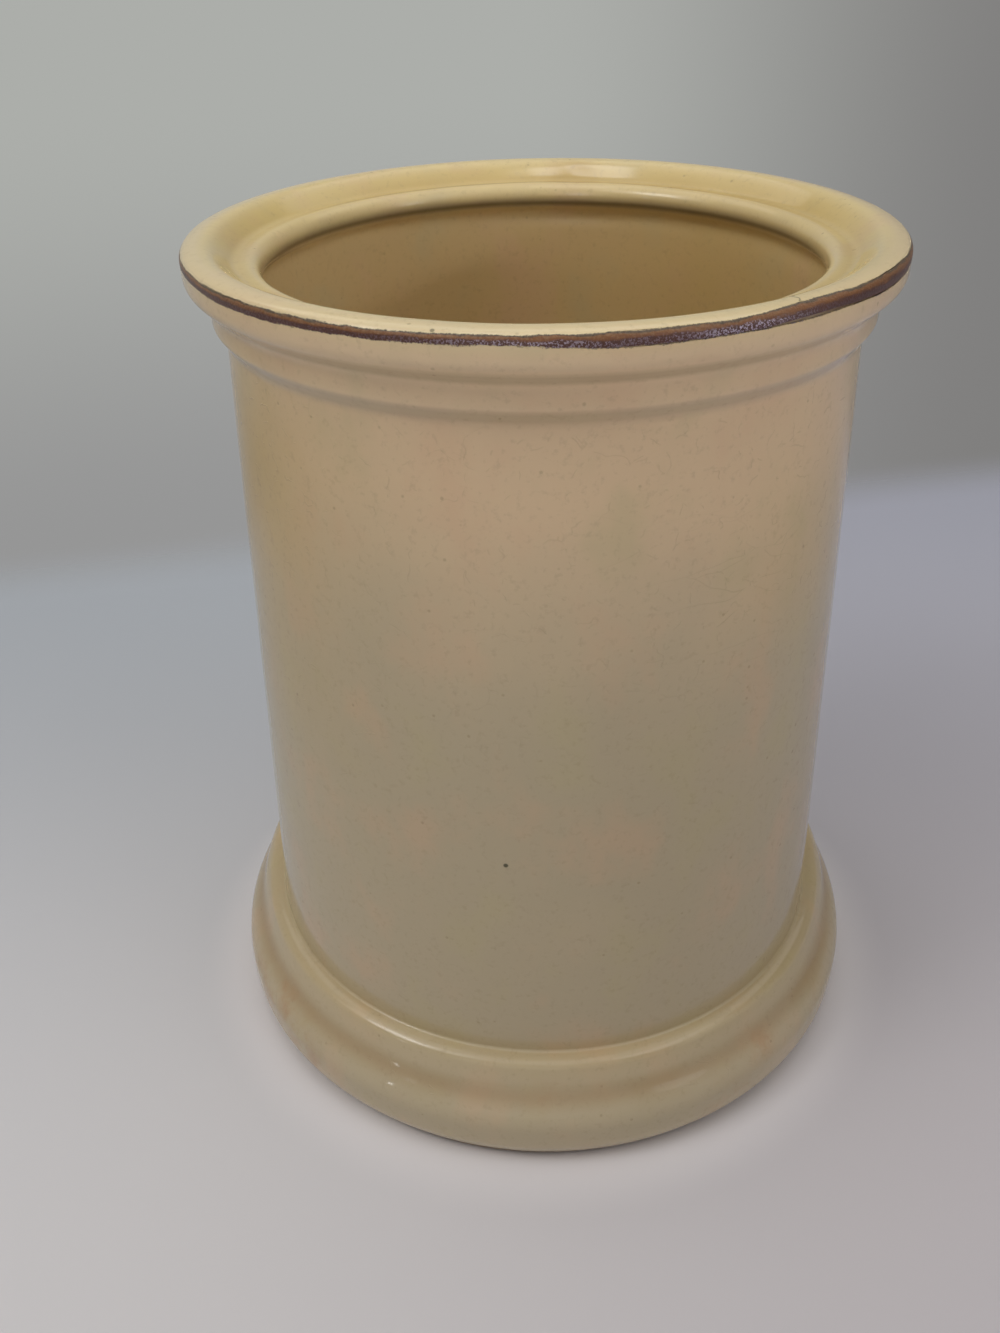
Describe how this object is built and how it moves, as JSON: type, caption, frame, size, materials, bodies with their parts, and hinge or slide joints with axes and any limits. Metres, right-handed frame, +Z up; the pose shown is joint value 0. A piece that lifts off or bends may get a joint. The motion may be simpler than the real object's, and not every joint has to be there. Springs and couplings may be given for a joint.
{
  "type": "utensil crock",
  "caption": "Open round stoneware crock for kitchen utensils, with a flared lip, a ledge inside the rim, a bead below it and a spreading foot.",
  "frame": {"origin": "centre of the base, on the surface that the crock stands on", "axes": "+Z up along the crock's axis of symmetry; X and Y lie on the table and are alike"},
  "size_m": [0.1479, 0.1478, 0.175],
  "materials": {
    "clay": "bare fired stoneware, matt and slightly gritty",
    "outer_glaze": "cream glaze, semi-gloss, with fine crazing",
    "inner_glaze": "cream glaze, glossy",
    "brown_band": "brushed iron brown under a gloss, uneven at its edges"
  },
  "bodies": {
    "root": {"crock_body": "clay", "outer_glaze": "outer_glaze", "inner_glaze": "inner_glaze", "rim_band": "brown_band"}
  },
  "joints": []
}
